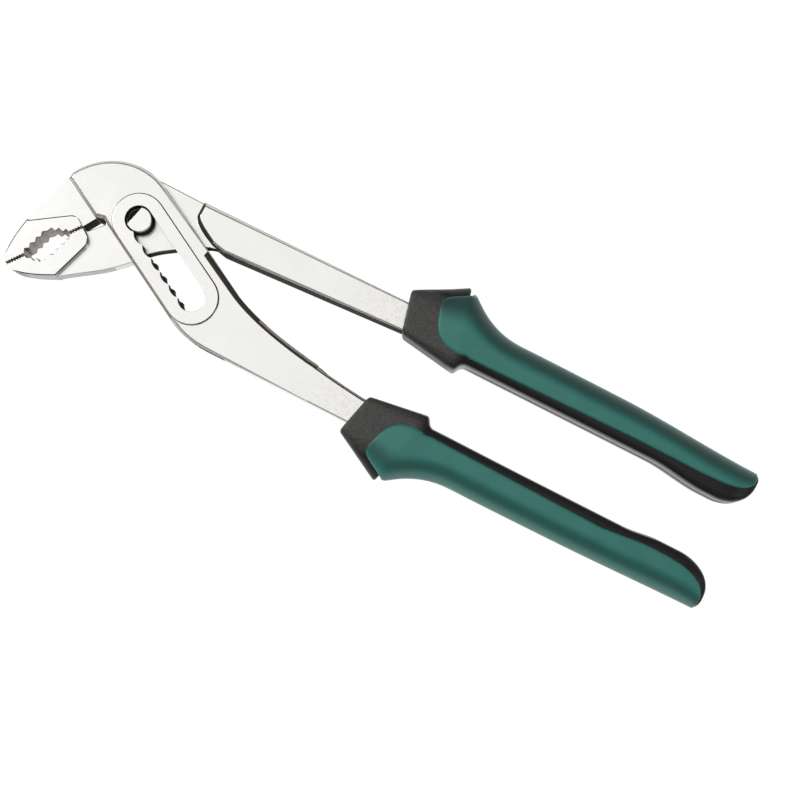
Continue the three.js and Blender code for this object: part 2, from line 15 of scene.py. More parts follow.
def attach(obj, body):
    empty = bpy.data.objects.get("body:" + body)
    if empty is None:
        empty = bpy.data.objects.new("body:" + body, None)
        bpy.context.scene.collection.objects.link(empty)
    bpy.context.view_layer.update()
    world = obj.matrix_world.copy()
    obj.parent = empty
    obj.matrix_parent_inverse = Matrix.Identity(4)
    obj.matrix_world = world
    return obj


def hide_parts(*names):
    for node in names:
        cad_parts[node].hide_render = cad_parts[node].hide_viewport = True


bl_info = {
    "name": "Water Pump Pliers",
    "version": (1, 0, 0),
    "blender": (4, 5, 0),
    "location": "View3D > Sidebar > Pliers",
    "description": "Steel arms, pivot pin and two-component grips of water pump pliers",
    "category": "Object",
}

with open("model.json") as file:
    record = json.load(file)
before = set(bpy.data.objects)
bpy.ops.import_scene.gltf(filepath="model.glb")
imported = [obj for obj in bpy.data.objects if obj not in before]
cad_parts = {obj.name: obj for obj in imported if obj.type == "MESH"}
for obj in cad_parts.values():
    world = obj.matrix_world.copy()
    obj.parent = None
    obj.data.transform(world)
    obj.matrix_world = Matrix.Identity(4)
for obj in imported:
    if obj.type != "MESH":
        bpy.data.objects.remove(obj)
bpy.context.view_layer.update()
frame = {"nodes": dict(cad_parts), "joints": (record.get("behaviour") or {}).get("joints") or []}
joints = {joint["name"]: joint for joint in frame["joints"]}

MM = 0.001
PIN = Vector(joints["handle_pivot"]["pos_m"])
SLOT = Vector(joints["position_slide"]["axis"])
ACROSS = Vector((-SLOT.y, SLOT.x, 0))

# Camera: leans a little towards the bottom of the picture, with the handles turned in it
PICTURE = 800
TARGET = Vector((101.77, -13.45, 0)) * MM
CAMERA_DISTANCE = 400 * MM
CAMERA_LEAN = math.radians(5.5)
CAMERA_ROLL = math.radians(27)
PIXELS_PER_METRE = 3084
CLIP_START = 0.01
CLIP_END = 50

# Lamps: the soft one is moved towards the jaws, the others stand along the handles
LAMP_SHIFT = -0.2
KEY_SIZE = 0.5
KEY_TILT = math.radians(48)
KEY_DISTANCE = 1.4

# Name of each side lamp, its turn about the vertical in degrees and its share of the power
SIDE_LAMPS = (("head_lamp", 180, 1.2), ("handle_lamp", 0, 0.35))

# Glow of the floor where the camera or a reflection sees it
FLOOR_GLOW = 1.17
GLOW_SHARE = 0.86
FLOOR_ROUGHNESS = 0.9

# Pale walls of the room fade out upwards; sines of the angles above the floor
WALLS_FULL = 0.5
WALLS_END = 0.8

# Steel pieces and the bodies they ride on
STEEL_BODIES = (("slotted_arm", "slotted_half"), ("through_arm", "through_half"), ("pivot_pin", "pin"))

# Finishes of the steel faces, in the order of a piece's materials: plating, teeth, painted shade, painted
# pale light and painted shade under the lower jaw
PLATED, TEETH, PAINTED_SHADE, PAINTED_LIGHT, SHADED_UNDERSIDE = range(5)
SIDE_ROUGHER = 2

# Jaws, in millimetres from the pin, along the slot and across it
JAW_BASE = (-8.8, -16.2)
JAW_LEAN = math.radians(7.9)
JAW_LENGTH = 27.8
JAW_TIP = 1
TOOTH_BACK = 0.5
TOOTH_ZONE = 5.6
HEEL_BACK = 10
PARTING_BACK = 40
PARTING_REACH = 4.4
PAD_HALF = 4.3
PAD_LEVEL = 0.05

# Places on the arms and the pin, in millimetres from the pin
PIN_TOP = 5
SLOT_REACH = 7.5
SLOT_LENGTH = 31.2
BOSS_RING = (8.0, 9.2)
BOSS_MARGIN = 1
BOSS_END = 12
SHOULDER_FROM = 12
SHOULDER_TO = 24
SHOULDER_SIDE = 2
INNER_FROM = 8

# Which way a steel face looks, as parts of its normal
FLAT = 0.99
WALL_SLOPE = 0.5
SLOPE_LEAST = 0.1
SLOPE_MOST = 0.97
INWARD = 0.3
HANDLE_INWARD = 0.25

# Rounds that turn this far to the outer side of an arm get painted pale light, a pale matte colour in place
# of a reflection
OUTER_TURN = 0.25

# Merging of the solids: distances in millimetres and an angle in degrees
MERGE = 0.05
SLIVER = 0.02
FLAT_ANGLE = 0.2

# Rounds on the steel edges: angles in degrees, sizes in millimetres, room as a multiple of the round
EDGE_ANGLE = 25
EDGE_ROOM = 2.2
EDGE_SEGMENTS = 3
FINE_ROOM = 2.5
FINE_SEGMENTS = 2
SMOOTH_ANGLE = 50
PAD_ANGLE = 60
PAD_EDGE = {"slotted_arm": 0.45, "through_arm": 0.3, "pivot_pin": 0.3}
PAD_SEGMENTS = 2

# Broken edge along the inner side of the lower handle: a line of painted shade, and past the elbow a band of
# painted pale light too
ELBOW_ANGLE = 30
ELBOW_FROM = 24
ELBOW_TO = 97
ELBOW_EDGE = 1.0
ELBOW_SEGMENTS = 4
ELBOW_LINE = 0.95
PALE_FROM = 50

# Tints of the finishes, which multiply a colour; the slope tint is painted shade and the rim tint a painted
# highlight on the covers
MOTTLE_TINT = (0.86, 0.84, 0.79)
GRAIN_TINT = (3.7, 3.5, 3.3)
LIGHT_TINT = (1.5, 1.2, 1.22)
PAINTED_SHADE_TINT = (0.42, 0.3, 0.32)
PAINTED_RIM_TINT = (7, 2.1, 2.2)
SHEEN_TINT = (0.62, 0.9, 0.84, 1)

# Mottled stretch of the steel near the grips, in millimetres along the part
MOTTLE_FROM = -24
MOTTLE_TO = -4

# Grips, in millimetres; along is measured from the front of the collar
GRIP_START = 91
GRIP_LENGTH = 124.5
GRIP_INNER = 11.3
GRIP_OUTER = 25.5
GRIP_HALF = 8.2
GRIP_TAPER = 1
COLLAR_LENGTH = 18.6
COLLAR_INNER = 11.3
COLLAR_OUTER = 25.6
COLLAR_HALF = 7.6
COLLAR_EDGE = 0.8
LIP_INNER = 3.2
LIP_HALF = 8.8
LIP_INNER_RUN = 4
LIP_OUTER_RUN = 20
LIP_FALL = 2.4
COLLAR_SHEAR = -0.25
END_INNER = 9
END_CORNER = 0.7
END_HALF = 3.4
COLLAR_SQUARE = 0.27
INNER_SQUARE = 0.32
OUTER_SQUARE = 1.2
INNER_FACE = 0.44
OUTER_FACE = 0.95
LIP_ROUND = 0.7
LIP_STEPS = (-1, -0.5, 0, 0.5, 1)
FLANGE_SETBACK = 0.2
FLANGE_DROP = 2.4
FLANGE_RUN = 0.8
SINK_RUN = 4
CORE_END = 13
BEAD_WIDTH = 0.5
SLEEVE_END = 0.6
SLEEVE_TIP = 0.3
SLEEVE_CORNER = 7
SLEEVE_WAIST = 1.2
SLEEVE_LEAN = 1.2
FLANGE_CORNER = 2
FLANGE_LEAD = 1.2
HALF_GIRTH = 25

# Finish of the cores, in millimetres from the pin: grain on the collar's faces, polish on the inner walls
WALL_HALF = 6.4
WALL_FADE = 0.5
INNER_WALL = 13.2
INNER_FADE = 0.4
COLLAR_END = 110
COLLAR_FADE = 4
PLAIN_FROM = 27.5
PLAIN_TO = 29

# How the two grips differ: edges moved, fall of the outer edge near the end, swelling and round of the end,
# then the start, edge, end edge, flange and end curve of the soft cover, the lip, the painted shade on the
# outer slope and the painted highlight on the pale rim
GripShape = namedtuple(
    "GripShape",
    "name body side inner outer drop swell swell_setback swell_run end_round "
    "start edge end_edge flange curve rise lip shade shade_from shade_run shade_to rim",
)
UPPER = GripShape(
    name="upper", body="through_half", side=1,
    inner=0, outer=0.2, drop=1.9, swell=1.9, swell_setback=34, swell_run=20, end_round=10,
    start=9, edge=2.2, end_edge=3.3, flange=3.4, curve=14, rise=6.4, lip=10.5,
    shade=1.0, shade_from=0.47, shade_run=0.27, shade_to=0.88, rim=0,
)
LOWER = GripShape(
    name="lower", body="slotted_half", side=-1,
    inner=0.2, outer=0.3, drop=0.6, swell=1.2, swell_setback=31.5, swell_run=12, end_round=13,
    start=8.8, edge=2.8, end_edge=2.5, flange=2.3, curve=18, rise=9.3, lip=9.3,
    shade=0.66, shade_from=0.56, shade_run=0.16, shade_to=0.77, rim=0.5,
)
SHIFT_RUN = 40
DROP_RUN = 50

# Painted shade on the outer slope and painted highlight on the pale rim of a cover, as shares of the grip's
# width
SHADE_FADE = 0.11
RIM_FROM = 0.83
RIM_RUN = 0.1

# Edge of a cover: the inset of each step and the depth left after it, as shares of the edge's round
COVER_EDGE = ((0.14, 0.45), (0.26, 0.16), (0.3, 0.03), (0.3, 0.0))

# Facets
SECTION_SAMPLES = 160
SECTION_DIGITS = 4
SHEAR_ROUNDS = 6
RING_POINTS = 144
CORE_ANGLE = 50
CURVE_STEPS = 10
FLANGE_STEPS = 8
EDGE_STEPS = 24
SWELL_STEPS = 8
GIRTH_CUTS = 57
NEAR_ALONG = 0.05
NEAR_SHARE = 0.004
TINY = 1e-6

# Rows of a core: the collar's edge, the collar, the lip, the handle, the end and its closing
EDGE_TURN = 1.57
EDGE_ROWS = 5
COLLAR_ROWS = 10
COLLAR_FIRST = 2
COLLAR_LAST = 0.6
LIP_ROWS = 22
LIP_CROWDING = 1.5
HANDLE_ROWS = 40
HANDLE_FIRST = 2
END_ROWS = 18
END_FIRST = 0.1
END_SHRINK = (0.5, 1.1)

# Values kept on a cover's points: depth below its top, painted shade on the slope and painted highlight on
# the rim
COVER_LAYERS = ("depth", "slope", "rim")

# Cuts across a cover: where each stretch begins and the step in it
COVER_CUTS = ((8, 0.8), (42, 2), (106, 0.7))


def colour_property(name, description, default):
    return FloatVectorProperty(
        name=name, description=description, subtype="COLOR", size=3, min=0, max=1, default=default
    )


def length_property(name, description, default):
    return FloatProperty(name=name, description=description, unit="LENGTH", default=default)


class SteelProperties(bpy.types.PropertyGroup):
    """Finish of the two forged arms and the pin"""

    colour: colour_property("Steel", "Plated steel", (0.68, 0.675, 0.652))
    tooth_colour: colour_property("Teeth", "Bare steel of the teeth", (0.34, 0.31, 0.28))
    # Painted shade: a dark colour standing for the shadow on slot walls, recesses and inner edges
    painted_shade_colour: colour_property("Inner walls", "Dark steel of slot and inner edges", (0.055, 0.05, 0.038))
    # Painted shade: a duller colour standing for the shade under the lower jaw
    jaw_side_shade_colour: colour_property("Jaw side", "Duller plating under the lower jaw", (0.5, 0.51, 0.49))
    # Painted light: a pale colour standing for the reflection on outer rounds
    painted_light_colour: colour_property("Ground edge", "Pale ground edges of the arms", (0.4, 0.38, 0.31))
    roughness: FloatProperty(
        name="Roughness", description="Satin of the plating", subtype="FACTOR", min=0, max=1, default=0.24
    )
    edge_round: length_property("Edge round", "Round on the forged edges", 0.35 * MM)
    fine_round: length_property("Fine round", "Round on the short edges", 0.12 * MM)


class GripProperties(bpy.types.PropertyGroup):
    """Sizes and colours of the two grips"""

    cover_colour: colour_property("Cover", "Soft green cover", (0.02, 0.178, 0.145))
    core_colour: colour_property("Core", "Hard black core", (0.016, 0.0155, 0.015))
    cover_proud: length_property("Cover height", "How far the cover stands above the core", 0.5 * MM)
    cover_round: length_property("Cover edge", "Round along the edge of the cover", 1.1 * MM)
    cover_wall: length_property("Cover wall", "Thickness of the cover", 1.4 * MM)
    bead: length_property("Seam bead", "Height of the moulded seam on the inner side", 0.3 * MM)


class StageProperties(bpy.types.PropertyGroup):
    """Floor and light of the studio"""

    floor_colour: colour_property("Floor", "Pale floor", (0.22, 0.22, 0.22))
    floor_size: length_property("Floor size", "Side of the floor", 12)
    lamp_power: FloatProperty(name="Lamp", description="Power of the soft lamp", unit="POWER", default=5.7)
    lamp_size: length_property("Lamp size", "Side of the soft lamp", 1.2)
    lamp_height: length_property("Lamp height", "Lamp above the floor", 1.1)
    key_power: FloatProperty(
        name="Side lamps", description="Power of a side lamp, times its share", unit="POWER", default=6.5
    )
    world_strength: FloatProperty(name="World", description="Light from all round", default=0.06)
    world_mirrored: FloatProperty(name="Room", description="Reflected walls of the room", default=0.4)


def smoothstep(value, start, run):
    part = min(1.0, max(0.0, (value - start) / run))
    return part * part * (3 - 2 * part)


def round_off(along, run):
    """How far a quarter round over the last stretch of a grip has turned, from 0 to 1"""
    part = min(1.0, max(0.0, (along - GRIP_LENGTH + run) / run))
    return 1 - math.sqrt(1 - part * part)


def grip_size(along, shape):
    """Inner edge, outer edge and half depth of a grip, with the lip of the collar rounded over"""
    if abs(along - COLLAR_LENGTH) > 2 * LIP_ROUND:
        return drawn_size(along, shape)
    sizes = [drawn_size(along + LIP_ROUND * step, shape) for step in LIP_STEPS]
    return tuple(sum(values) / len(sizes) for values in zip(*sizes))


def drawn_size(along, shape):
    """Inner edge, outer edge and half depth of a grip at a distance along it"""
    rise = min(1.0, max(0.0, along / COLLAR_LENGTH))
    past = along - COLLAR_LENGTH
    inner = COLLAR_INNER + (GRIP_INNER - LIP_INNER - COLLAR_INNER) * rise
    outer = COLLAR_OUTER + (GRIP_OUTER + shape.lip - COLLAR_OUTER) * rise
    half = COLLAR_HALF + (LIP_HALF - COLLAR_HALF) * rise
    if past > 0:
        inner_fall = max(0.0, 1 - past / LIP_INNER_RUN) ** 2
        outer_fall = max(0.0, 1 - past / LIP_OUTER_RUN) ** LIP_FALL
        inner = GRIP_INNER - LIP_INNER * inner_fall
        outer = GRIP_OUTER + shape.lip * outer_fall - GRIP_TAPER * past / (GRIP_LENGTH - COLLAR_LENGTH)
        half = GRIP_HALF + (LIP_HALF - GRIP_HALF) * outer_fall
    turned = round_off(along, shape.end_round)
    moved = smoothstep(along, COLLAR_LENGTH, SHIFT_RUN)
    swollen = smoothstep(along, GRIP_LENGTH - shape.swell_setback, shape.swell_run)
    inner += shape.inner * moved + END_INNER * turned - shape.swell * swollen
    outer += shape.outer * moved - shape.drop * smoothstep(along, GRIP_LENGTH - DROP_RUN, DROP_RUN)
    outer -= END_CORNER * round_off(along, END_CORNER)
    half -= END_HALF * turned
    return inner, outer, half


Section = namedtuple("Section", "out up length middle half")


@lru_cache(maxsize=None)
def drawn_section(along, shape):
    """The front half of a section, from the outer middle to the inner middle, with its running length"""
    inner, outer, half = grip_size(along, shape)
    middle = (inner + outer) / 2
    width = (outer - inner) / 2
    blend = smoothstep(along, 0, COLLAR_LENGTH)
    turn = np.linspace(0, math.pi, SECTION_SAMPLES)
    cosine, sine = np.cos(turn), np.sin(turn).clip(0)
    outward, outer_face, inner_face, inward = (
        COLLAR_SQUARE + (square - COLLAR_SQUARE) * blend
        for square in (OUTER_SQUARE, OUTER_FACE, INNER_FACE, INNER_SQUARE)
    )
    out = middle + width * np.sign(cosine) * np.abs(cosine) ** np.where(cosine < 0, inward, outward)
    up = half * sine ** np.where(cosine < 0, inner_face, outer_face)
    length = np.concatenate([[0], np.cumsum(np.hypot(np.diff(out), np.diff(up)))])
    return Section(out, up, length / length[-1], middle, half)


def grip_section(along, shape):
    return drawn_section(round(along, SECTION_DIGITS), shape)


def shear_at(along):
    return COLLAR_SHEAR * (1 - smoothstep(along, COLLAR_LENGTH, LIP_OUTER_RUN))


def grip_point(along, share, shape, shrink=0.0, bead=0.0):
    """A point of a grip's surface; share runs from 0 at the outer middle to 1 or -1 at the inner middle"""
    out, up, length, middle, half = grip_section(along, shape)
    across = float(np.interp(abs(share), length, out))
    height = float(np.interp(abs(share), length, up))
    if bead and across < middle:
        across -= bead * math.exp(-((height / BEAD_WIDTH) ** 2))
    if shrink:
        across -= shrink * (across - middle) / max(abs(out[0] - middle), TINY)
        height -= shrink * height / half
    x = GRIP_START + along + shear_at(along) * (across - middle)
    return Vector((x, across, math.copysign(height, share)))


def place_grip(point, side):
    """From a grip's own millimetres to the part's frame; side is 1 for the upper grip, -1 for the lower"""
    return Vector((PIN.x + point.x * MM, side * point.y * MM, PIN.z + point.z * MM))


def grip_coordinates(x, out, shape):
    """Along and share on the front face of a grip, for a place seen from the front"""
    along = x
    for _ in range(SHEAR_ROUNDS):
        along = x - shear_at(along) * (out - grip_section(along, shape).middle)
    section = grip_section(along, shape)
    share = float(np.interp(-out, -section.out, section.length))
    return along, share


def curve_points(start, control, end):
    """A quadratic curve between two points of the plan"""
    points = []
    for i in range(CURVE_STEPS + 1):
        t = i / CURVE_STEPS
        near, bend, far = (1 - t) ** 2, 2 * t * (1 - t), t * t
        points.append(tuple(near * a + bend * b + far * c for a, b, c in zip(start, control, end)))
    return points


def line_points(start, end, steps):
    return [tuple(a + (b - a) * i / steps for a, b in zip(start, end)) for i in range(steps + 1)]


def cover_outline(shape):
    """Edge of the soft cover on the front face, from the flange round the inner side to the end"""
    edge = GRIP_INNER + shape.edge
    end_edge = GRIP_INNER + shape.end_edge
    end = GRIP_LENGTH - SLEEVE_END
    lip_x = COLLAR_LENGTH + COLLAR_SHEAR * shape.lip
    lip_top = GRIP_OUTER + shape.lip - shape.flange
    slope = (GRIP_OUTER + shape.lip - COLLAR_OUTER) / lip_x
    front_top = lip_top - slope * (lip_x - shape.start)
    corner = FLANGE_CORNER
    front = shape.start
    lead = front + 3 * SLEEVE_LEAN
    swell = GRIP_LENGTH - shape.swell_setback
    past_lip = (lip_x + FLANGE_LEAD, lip_top + FLANGE_LEAD * slope)
    flange_front = (front + corner, front_top + slope * corner)
    edge_start = (lead + SLEEVE_CORNER, edge)
    waist = (swell - SLEEVE_CORNER, edge + SLEEVE_WAIST)
    points = line_points(past_lip, flange_front, FLANGE_STEPS)[:-1]
    points += curve_points(
        flange_front,
        (front - corner / 2, front_top - slope * corner / 2),
        (front, front_top - 2 * corner),
    )
    points += curve_points((front + SLEEVE_LEAN, edge + SLEEVE_CORNER), (lead, edge), edge_start)
    points += line_points(edge_start, waist, EDGE_STEPS)[1:]
    points += line_points(waist, (swell + SLEEVE_CORNER, end_edge), SWELL_STEPS)[1:]
    points += curve_points((end - shape.curve, end_edge), (end, end_edge), (end, end_edge + shape.rise))
    return points


def link_piece(name, bm, material, body, slot, *nodes):
    """A finished bmesh as a piece that rides on a body and stands for CAD nodes"""
    mesh = bpy.data.meshes.new(name)
    bm.to_mesh(mesh)
    bm.free()
    mesh.materials.append(material)
    piece = bpy.data.objects.new(name, mesh)
    bpy.context.scene.collection.objects.link(piece)
    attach(piece, body)
    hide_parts(*nodes)
    return piece


class NodeMaker:
    """Adds nodes to a new material and links them"""

    def __init__(self, name):
        self.material = bpy.data.materials.new(name)
        self.material.use_nodes = True
        self.tree = self.material.node_tree
        self.shader = self.tree.nodes["Principled BSDF"]
        self.place = self.add("ShaderNodeTexCoord").outputs["Object"]

    def add(self, kind, inputs=None, **settings):
        node = self.tree.nodes.new(kind)
        for key, value in settings.items():
            setattr(node, key, value)
        for key, value in (inputs or {}).items():
            if isinstance(value, bpy.types.NodeSocket):
                self.tree.links.new(value, node.inputs[key])
            else:
                node.inputs[key].default_value = value
        return node

    def noise(self, scale, detail=2.0, roughness=0.5):
        node = self.add(
            "ShaderNodeTexNoise",
            {"Vector": self.place, "Scale": scale, "Detail": detail, "Roughness": roughness},
        )
        return node.outputs["Fac"]

    def span(self, value, low, high, to_low=0.0, to_high=1.0):
        node = self.add(
            "ShaderNodeMapRange",
            {"Value": value, "From Min": low, "From Max": high, "To Min": to_low, "To Max": to_high},
        )
        return node.outputs["Result"]

    def mix(self, factor, first, second):
        node = self.add("ShaderNodeMix", data_type="RGBA")
        for key, value in (("Factor", factor), ("A", first), ("B", second)):
            socket = next(s for s in node.inputs if s.name == key and s.enabled)
            if isinstance(value, bpy.types.NodeSocket):
                self.tree.links.new(value, socket)
            elif key == "Factor":
                socket.default_value = value
            else:
                socket.default_value = (*value, 1)
        return next(s for s in node.outputs if s.enabled)

    def math(self, operation, first, second=0.0):
        node = self.add("ShaderNodeMath", {0: first, 1: second}, operation=operation)
        return node.outputs[0]

    def to_shader(self, **sockets):
        for key, value in sockets.items():
            socket = self.shader.inputs[key.replace("_", " ")]
            if isinstance(value, bpy.types.NodeSocket):
                self.tree.links.new(value, socket)
            else:
                socket.default_value = value

    def bump(self, height, strength, distance):
        node = self.add("ShaderNodeBump", {"Height": height, "Strength": strength, "Distance": distance})
        self.tree.links.new(node.outputs["Normal"], self.shader.inputs["Normal"])


def dimmed(colour, factor):
    return tuple(c * factor for c in colour)


def tinted(colour, tint):
    return tuple(c * f for c, f in zip(colour, tint))


def steel_material(name, colour, roughness):
    """Satin plated steel with cloudy patches, fine blasting and a mottled stretch near the grips"""
    maker = NodeMaker(name)
    clouds = maker.noise(scale=70, detail=3)
    patches = maker.noise(scale=1300, detail=3, roughness=0.7)
    x = maker.add("ShaderNodeSeparateXYZ", {0: maker.place}).outputs["X"]
    near_grip = maker.span(x, MOTTLE_FROM * MM, MOTTLE_TO * MM)
    mottle = maker.math("MULTIPLY", maker.span(patches, low=0.45, high=0.65), near_grip)
    base = maker.mix(maker.span(clouds, low=0.35, high=0.7), colour, dimmed(colour, factor=0.97))
    base = maker.mix(maker.math("MULTIPLY", mottle, second=0.5), base, tinted(colour, MOTTLE_TINT))
    satin = maker.noise(scale=500)
    rough = maker.span(satin, low=0.3, high=0.7, to_low=roughness - 0.02, to_high=roughness + 0.04)
    rough = maker.math("ADD", rough, maker.math("MULTIPLY", mottle, second=0.12))
    maker.to_shader(Base_Color=base, Metallic=1.0, Roughness=rough)
    maker.bump(maker.noise(scale=2600), strength=0.008, distance=0.02 * MM)
    return maker.material


def tooth_material(name, colour):
    """Bare steel in the teeth, darker and rougher"""
    maker = NodeMaker(name)
    stain = maker.span(maker.noise(scale=500, detail=3), low=0.3, high=0.7)
    base = maker.mix(stain, colour, dimmed(colour, factor=0.6))
    maker.to_shader(Base_Color=base, Metallic=1.0, Roughness=0.42)
    maker.bump(maker.noise(scale=900), strength=0.05, distance=0.04 * MM)
    return maker.material


def painted_shade_material(name, colour):
    """Painted shade: a dark matte colour in place of the shadow in the slot, in recesses and along the inner
    edges
    """
    maker = NodeMaker(name)
    stain = maker.span(maker.noise(scale=500, detail=3), low=0.3, high=0.7)
    base = maker.mix(stain, colour, dimmed(colour, factor=0.75))
    maker.to_shader(Base_Color=base, Metallic=0.0, Roughness=0.7, Specular_IOR_Level=0.1)
    return maker.material


def painted_light_material(name, colour):
    """Painted pale light on broken edges and outer rounds: a matte, slightly yellow colour in place of a
    reflection
    """
    maker = NodeMaker(name)
    streaks = maker.span(maker.noise(scale=700), low=0.35, high=0.65)
    base = maker.mix(streaks, colour, dimmed(colour, factor=0.8))
    maker.to_shader(Base_Color=base, Metallic=0.3, Roughness=0.6)
    return maker.material


def core_material(name, colour):
    """Hard black plastic, grained on the collar's faces and polished on the inner walls behind it"""
    maker = NodeMaker(name)
    grain = maker.noise(scale=2100, roughness=0.6)
    broad = maker.noise(scale=600)
    axes = maker.add("ShaderNodeSeparateXYZ", {0: maker.place}).outputs
    level = maker.math("ABSOLUTE", maker.math("SUBTRACT", axes["Z"], PIN.z))
    out = maker.math("ABSOLUTE", axes["Y"])
    off_face = maker.span(level, (WALL_HALF + WALL_FADE) * MM, (WALL_HALF - WALL_FADE) * MM)
    inside = maker.span(out, (INNER_WALL + INNER_FADE) * MM, (INNER_WALL - INNER_FADE) * MM)
    past_collar = maker.span(axes["X"], PIN.x + COLLAR_END * MM, PIN.x + (COLLAR_END + COLLAR_FADE) * MM)
    polish = maker.math("MULTIPLY", maker.math("MULTIPLY", off_face, inside), past_collar)
    plain = maker.math("MAXIMUM", past_collar, maker.span(out, PLAIN_FROM * MM, PLAIN_TO * MM))
    plain = maker.math("MAXIMUM", plain, off_face)
    grainy = maker.math("SUBTRACT", 1.0, plain)
    pale = maker.math("MULTIPLY", maker.span(grain, low=0.4, high=0.66), grainy)
    base = maker.mix(pale, colour, tinted(colour, GRAIN_TINT))
    rough = maker.span(broad, low=0.3, high=0.7, to_low=0.46, to_high=0.54)
    rough = maker.math("SUBTRACT", rough, maker.math("MULTIPLY", plain, second=0.14))
    shine = maker.span(plain, low=0.0, high=1.0, to_low=0.5, to_high=0.16)
    coat = maker.math("MULTIPLY", polish, second=0.5)
    maker.to_shader(
        Base_Color=base, Roughness=rough, Specular_IOR_Level=shine, Coat_Weight=coat, Coat_Roughness=0.1
    )
    maker.bump(grain, strength=0.3, distance=0.06 * MM)
    return maker.material


def cover_material(name, colour):
    """Soft green cover with a fine matte grain, slight clouding, painted shade on the outer slope and a
    painted highlight on the rim
    """
    maker = NodeMaker(name)
    grain = maker.noise(scale=2400, detail=3, roughness=0.6)
    clouds = maker.span(maker.noise(scale=160, detail=3), low=0.4, high=0.7, to_high=0.35)
    base = maker.mix(maker.span(grain, low=0.35, high=0.68), colour, tinted(colour, LIGHT_TINT))
    base = maker.mix(clouds, base, dimmed(colour, factor=0.85))
    # Painted shade on the slope and painted highlight on the rim, mixed into the colour
    for attribute, tint in (("slope", PAINTED_SHADE_TINT), ("rim", PAINTED_RIM_TINT)):
        amount = maker.add("ShaderNodeAttribute", attribute_name=attribute).outputs["Fac"]
        base = maker.mix(amount, base, tinted(colour, tint))
    maker.to_shader(
        Base_Color=base, Roughness=0.48, Sheen_Weight=0.5, Sheen_Roughness=0.35, Sheen_Tint=SHEEN_TINT
    )
    maker.bump(grain, strength=0.3, distance=0.06 * MM)
    return maker.material


def in_tooth_zone(point, back=TOOTH_BACK, reach=TOOTH_ZONE):
    """True near the gripping faces of the jaws, and for a stretch behind them"""
    flat = point / MM - PIN / MM
    u = flat.dot(SLOT) - JAW_BASE[0]
    v = flat.dot(ACROSS) - JAW_BASE[1]
    along = -u * math.sin(JAW_LEAN) - v * math.cos(JAW_LEAN)
    up = -u * math.cos(JAW_LEAN) + v * math.sin(JAW_LEAN)
    return -back < along < JAW_LENGTH + JAW_TIP and abs(up) < reach


def in_slot(place):
    """True in and close to the slot, for a place in millimetres from the pin"""
    beside = abs(place.dot(ACROSS)) < SLOT_REACH
    return beside and -SLOT_REACH < place.dot(SLOT) < SLOT_LENGTH + SLOT_REACH


def on_boss_slope(place):
    """True where the raised band round the slot slopes down, for a place in millimetres from the pin"""
    nearest = Vector((place.x, place.y, 0)) - SLOT * min(SLOT_LENGTH, max(0.0, place.dot(SLOT)))
    return BOSS_RING[0] < math.hypot(nearest.x, nearest.y) < BOSS_RING[1]


def off_boss(place):
    """True away from the raised band round the slot, for a place in millimetres from the pin"""
    return abs(place.dot(ACROSS)) > BOSS_RING[1] + BOSS_MARGIN or place.dot(SLOT) > SLOT_LENGTH + BOSS_END


def forged_copy(node):
    """A merged copy of a steel node with its flat faces whole"""
    bm = bmesh.new()
    bm.from_mesh(frame["nodes"][node].data)
    bmesh.ops.remove_doubles(bm, verts=bm.verts, dist=MERGE * MM)
    bmesh.ops.dissolve_degenerate(bm, edges=bm.edges, dist=SLIVER * MM)
    limit = math.radians(FLAT_ANGLE)
    bmesh.ops.dissolve_limit(
        bm, angle_limit=limit, verts=bm.verts, edges=bm.edges, use_dissolve_boundaries=False
    )
    return bm


def sharp_edges(bm, angle):
    return [e for e in bm.edges if len(e.link_faces) == 2 and e.calc_face_angle() > math.radians(angle)]


def round_edges(bm, edges, size, segments):
    made = bmesh.ops.bevel(
        bm, geom=edges, offset=size, offset_type="OFFSET", affect="EDGES", segments=segments, profile=0.5,
        material=-1, clamp_overlap=False, loop_slide=True,
    )
    return made["faces"]


def roomy_edges(bm, angle, room):
    """Sharp edges whose ends have no short edges, so that a round fits there"""
    least = {v: min(e.calc_length() for e in v.link_edges) for v in bm.verts}
    return [e for e in sharp_edges(bm, angle) if min(least[v] for v in e.verts) > room]


def handle_edges(bm):
    """Edges between a face and the inner wall of the lower handle"""
    edges = []
    for edge in sharp_edges(bm, ELBOW_ANGLE):
        upright = max(edge.link_faces, key=lambda f: f.normal.y)
        flat = max(edge.link_faces, key=lambda f: abs(f.normal.z))
        ends = [(v.co - PIN) / MM for v in edge.verts]
        within = all(off_boss(p) and ELBOW_FROM < p.x < ELBOW_TO for p in ends)
        if upright.normal.y > HANDLE_INWARD and abs(flat.normal.z) > FLAT and within:
            edges.append(edge)
    return edges


def pad_edges(bm):
    """Edges round the raised pads of the jaws, away from the teeth"""
    edges = []
    for edge in sharp_edges(bm, PAD_ANGLE):
        flat = max(edge.link_faces, key=lambda f: abs(f.normal.z))
        level = abs(flat.calc_center_median().z - PIN.z) / MM
        middle = (edge.verts[0].co + edge.verts[1].co) / 2
        on_pad = abs(flat.normal.z) > FLAT and abs(level - PAD_HALF) < PAD_LEVEL
        if on_pad and not near_parting(middle):
            edges.append(edge)
    return edges


def near_parting(point):
    """True close to the line where the two jaws meet"""
    return in_tooth_zone(point, PARTING_BACK, PARTING_REACH)


def weighted_normals(bm, angle):
    """A normal for each corner, led by the largest faces round it that lie within an angle"""
    limit = math.cos(math.radians(angle))
    areas = {face: face.calc_area() for face in bm.faces}
    normals = []
    for face in bm.faces:
        for loop in face.loops:
            total = Vector()
            for other in loop.vert.link_faces:
                if other.normal.dot(face.normal) > limit:
                    total += other.normal * areas[other]
            normals.append(total.normalized())
    return normals


